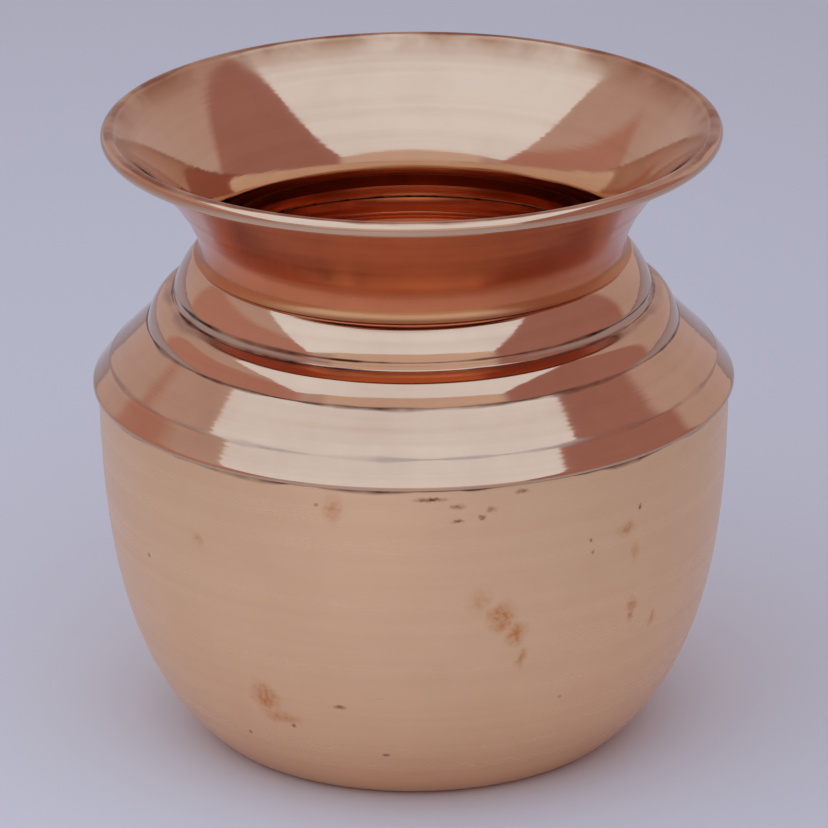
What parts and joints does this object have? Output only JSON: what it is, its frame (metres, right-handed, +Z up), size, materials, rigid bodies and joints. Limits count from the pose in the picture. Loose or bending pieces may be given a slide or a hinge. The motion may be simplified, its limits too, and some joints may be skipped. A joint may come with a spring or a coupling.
{
  "type": "lota",
  "caption": "Spun copper lota: a round water pot with a flat base, a full bowl, a stepped shoulder, a narrow neck and a flared mouth with a wired rim.",
  "frame": {"origin": "centre of the base, on the surface that the pot stands on", "axes": "+Z up along the axis of the pot; X and Y lie in the surface it stands on"},
  "size_m": [0.103, 0.103, 0.1015],
  "materials": {
    "bowl_copper": "copper sheet, satin polish with light tarnish",
    "shoulder_copper": "copper sheet, polished on the lathe",
    "mouth_copper": "copper sheet, polished on the lathe",
    "wire_copper": "drawn copper wire",
    "brazing_brass": "brazing metal, as it set"
  },
  "bodies": {
    "root": {"bowl": "bowl_copper", "shoulder": "shoulder_copper", "mouth": "mouth_copper", "rim_wire": "wire_copper", "belly_braze": "brazing_brass", "neck_braze": "brazing_brass"}
  },
  "joints": []
}
